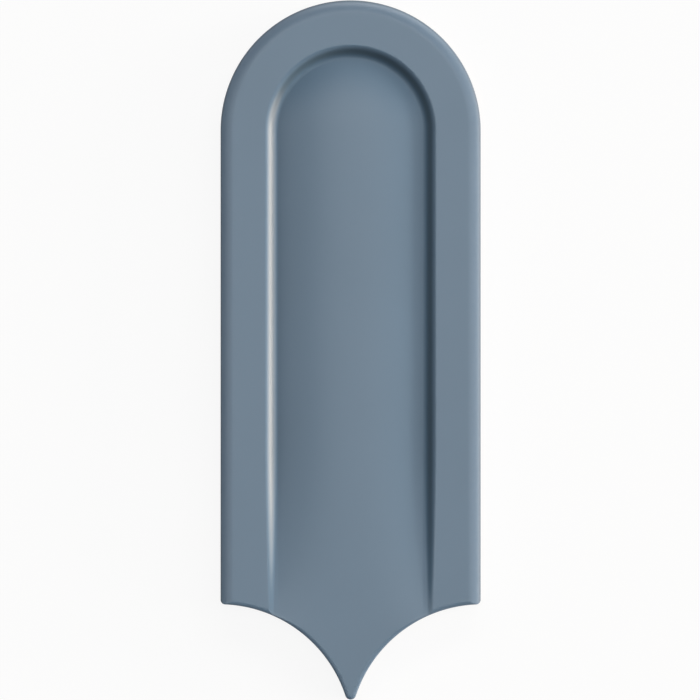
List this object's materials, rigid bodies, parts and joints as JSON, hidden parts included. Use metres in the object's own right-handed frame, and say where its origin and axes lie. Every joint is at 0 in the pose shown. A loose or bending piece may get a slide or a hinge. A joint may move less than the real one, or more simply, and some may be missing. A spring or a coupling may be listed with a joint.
{
  "type": "wall tile",
  "caption": "Glazed ceramic wall tile with an arched top, a flat rim round a sunken cushioned field that fades out towards a pointed tail",
  "frame": {"origin": "centre of the tile's length and width, on the back plane", "axes": "+Y runs up the tile towards the arched top, -Y to the tip of the tail, +X across it, +Z out of the glazed face"},
  "size_m": [0.0744, 0.2, 0.01],
  "materials": {
    "glaze": "satin glaze"
  },
  "bodies": {
    "root": {"wall_tile": "glaze"}
  },
  "joints": []
}
